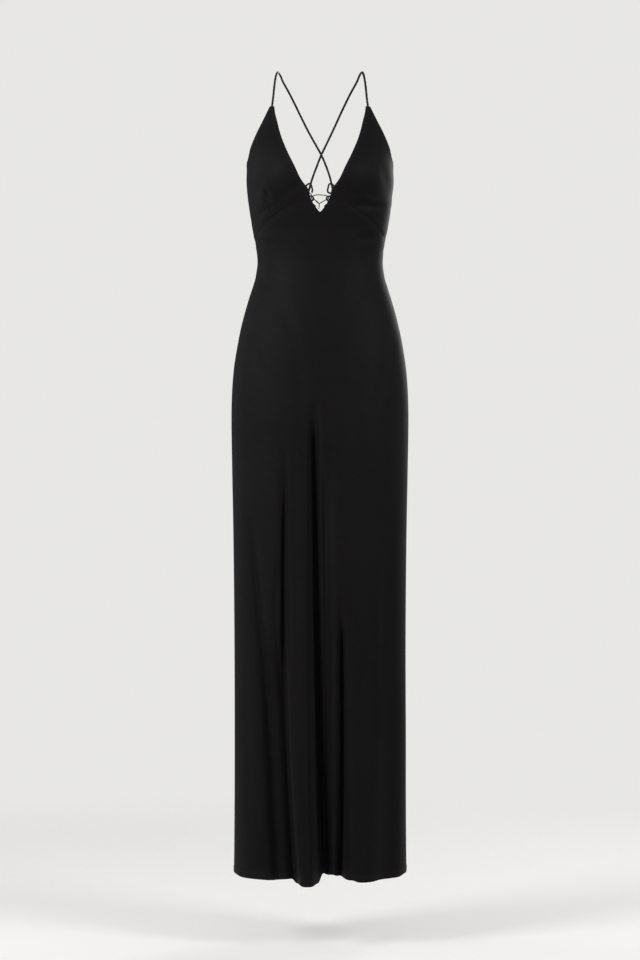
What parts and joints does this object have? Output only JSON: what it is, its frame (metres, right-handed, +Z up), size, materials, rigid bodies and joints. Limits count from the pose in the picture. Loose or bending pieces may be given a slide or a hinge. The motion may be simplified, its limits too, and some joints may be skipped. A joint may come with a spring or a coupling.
{
  "type": "slip dress",
  "caption": "Long bias-cut satin slip dress in its worn form, with a V neck, laced keyhole, thin straps crossing on an open back and soft skirt folds.",
  "frame": {"origin": "midway between the tops of the two shoulder straps, where the wearer's shoulders hold the dress", "axes": "+Z up along the dress, the wearer faces -Y, +X is the wearer's left"},
  "size_m": [0.3258, 0.2391, 1.4853],
  "materials": {
    "satin": "black bias-cut satin with a low soft sheen",
    "rouleau": "black satin turned into thin tubes",
    "lace_cord": "thin black twisted cord",
    "bead_metal": "small polished pale metal beads"
  },
  "bodies": {
    "root": {"cup_left": "satin", "cup_right": "satin", "front_panel": "satin", "back_panel": "satin", "strap_left": "rouleau", "strap_right": "rouleau", "loop_upper_left": "rouleau", "loop_upper_right": "rouleau", "loop_middle_left": "rouleau", "loop_middle_right": "rouleau", "loop_lower_left": "rouleau", "loop_lower_right": "rouleau", "lace": "lace_cord", "bead_upper": "bead_metal", "bead_lower": "bead_metal"}
  },
  "joints": []
}
